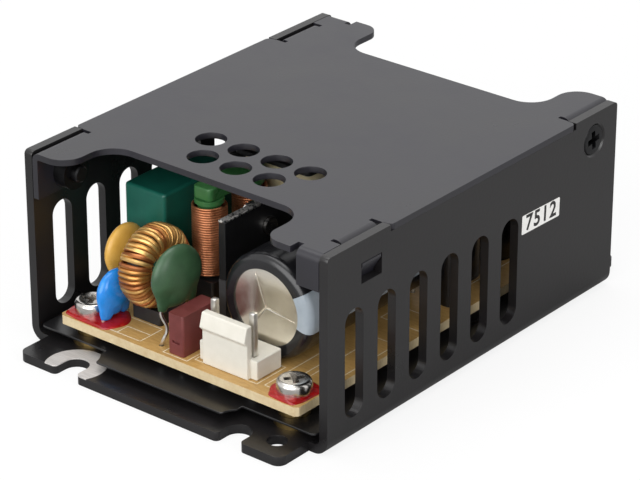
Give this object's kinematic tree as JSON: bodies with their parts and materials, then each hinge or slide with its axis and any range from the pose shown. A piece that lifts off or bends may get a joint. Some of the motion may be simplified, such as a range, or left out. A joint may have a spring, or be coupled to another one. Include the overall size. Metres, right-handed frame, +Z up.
{
  "type": "open frame power supply",
  "caption": "Open frame power supply: a folded sheet chassis with slotted walls and a vented cover around a stuffed circuit board, with open mounting notches at both ends.",
  "frame": {"origin": "middle of the footprint on the mounting plane, under the chassis floor", "axes": "+Z up, -Y towards the mains input end, +X towards the wall that carries the blank label"},
  "size_m": [0.0626, 0.09, 0.034],
  "materials": {
    "painted_sheet": "satin black paint",
    "cover_sheet": "satin dark grey paint",
    "steel": "plain zinc plate",
    "black_screw": "black oxide",
    "nickel": "nickel plate",
    "brass": "dull",
    "black_film": "smooth film",
    "laminate": "tan laminate",
    "red_varnish": "glossy varnish",
    "paper_label": "blank",
    "ivory_nylon": "moulded",
    "tinned": "tinned",
    "maroon_plastic": "moulded",
    "blue_coat": "dipped resin",
    "green_coat": "dipped resin",
    "ochre_coat": "dipped resin",
    "black_plastic": "moulded",
    "ferrite": "sintered",
    "enamelled_wire": "enamelled",
    "copper_wire": "enamelled copper",
    "teal_case": "moulded",
    "green_plastic": "moulded",
    "aluminium": "drawn",
    "black_sleeve": "shrunk film",
    "black_anodised": "black anodised",
    "cream_tape": "polyester tape",
    "solder": "solder",
    "blue_plastic": "moulded"
  },
  "bodies": {
    "root": {"chassis": "painted_sheet", "cover": "cover_sheet", "clinch_nuts": "black_screw", "cover_screws": "black_screw", "standoffs": "brass", "insulating_sheet": "black_film", "circuit_board": "laminate", "board_screws": "nickel", "screw_varnish": "red_varnish", "side_label": "paper_label", "ac_header": "ivory_nylon", "ac_header_pins": "tinned", "fuse": "maroon_plastic", "front_capacitor": "blue_coat", "thermistor": "green_coat", "varistor": "ochre_coat", "choke_base": "black_plastic", "choke_core": "ferrite", "choke_winding": "enamelled_wire", "x_capacitor": "teal_case", "filter_bobbin": "green_plastic", "filter_core": "ferrite", "filter_winding": "copper_wire", "filter_tape": "green_plastic", "bulk_capacitor_can": "aluminium", "bulk_capacitor_sleeve": "black_sleeve", "primary_heatsink": "black_anodised", "heatsink_feet": "steel", "power_transistor": "black_plastic", "bridge_rectifier": "black_plastic", "transformer_core": "ferrite", "transformer_bobbin": "black_plastic", "transformer_winding": "cream_tape", "bridging_capacitor": "blue_coat", "small_capacitor_can": "aluminium", "small_capacitor_sleeve": "black_sleeve", "rectifier_heatsink": "black_anodised", "output_rectifier": "black_plastic", "package_screws": "nickel", "output_capacitor_cans": "aluminium", "output_capacitor_sleeves": "black_sleeve", "output_choke_core": "ferrite", "output_choke_winding": "copper_wire", "optocouplers": "black_plastic", "trimmer": "blue_plastic", "dc_header": "ivory_nylon", "dc_header_pins": "tinned", "component_leads": "tinned", "solder_joints": "solder", "controller_chip": "black_plastic"}
  },
  "joints": []
}
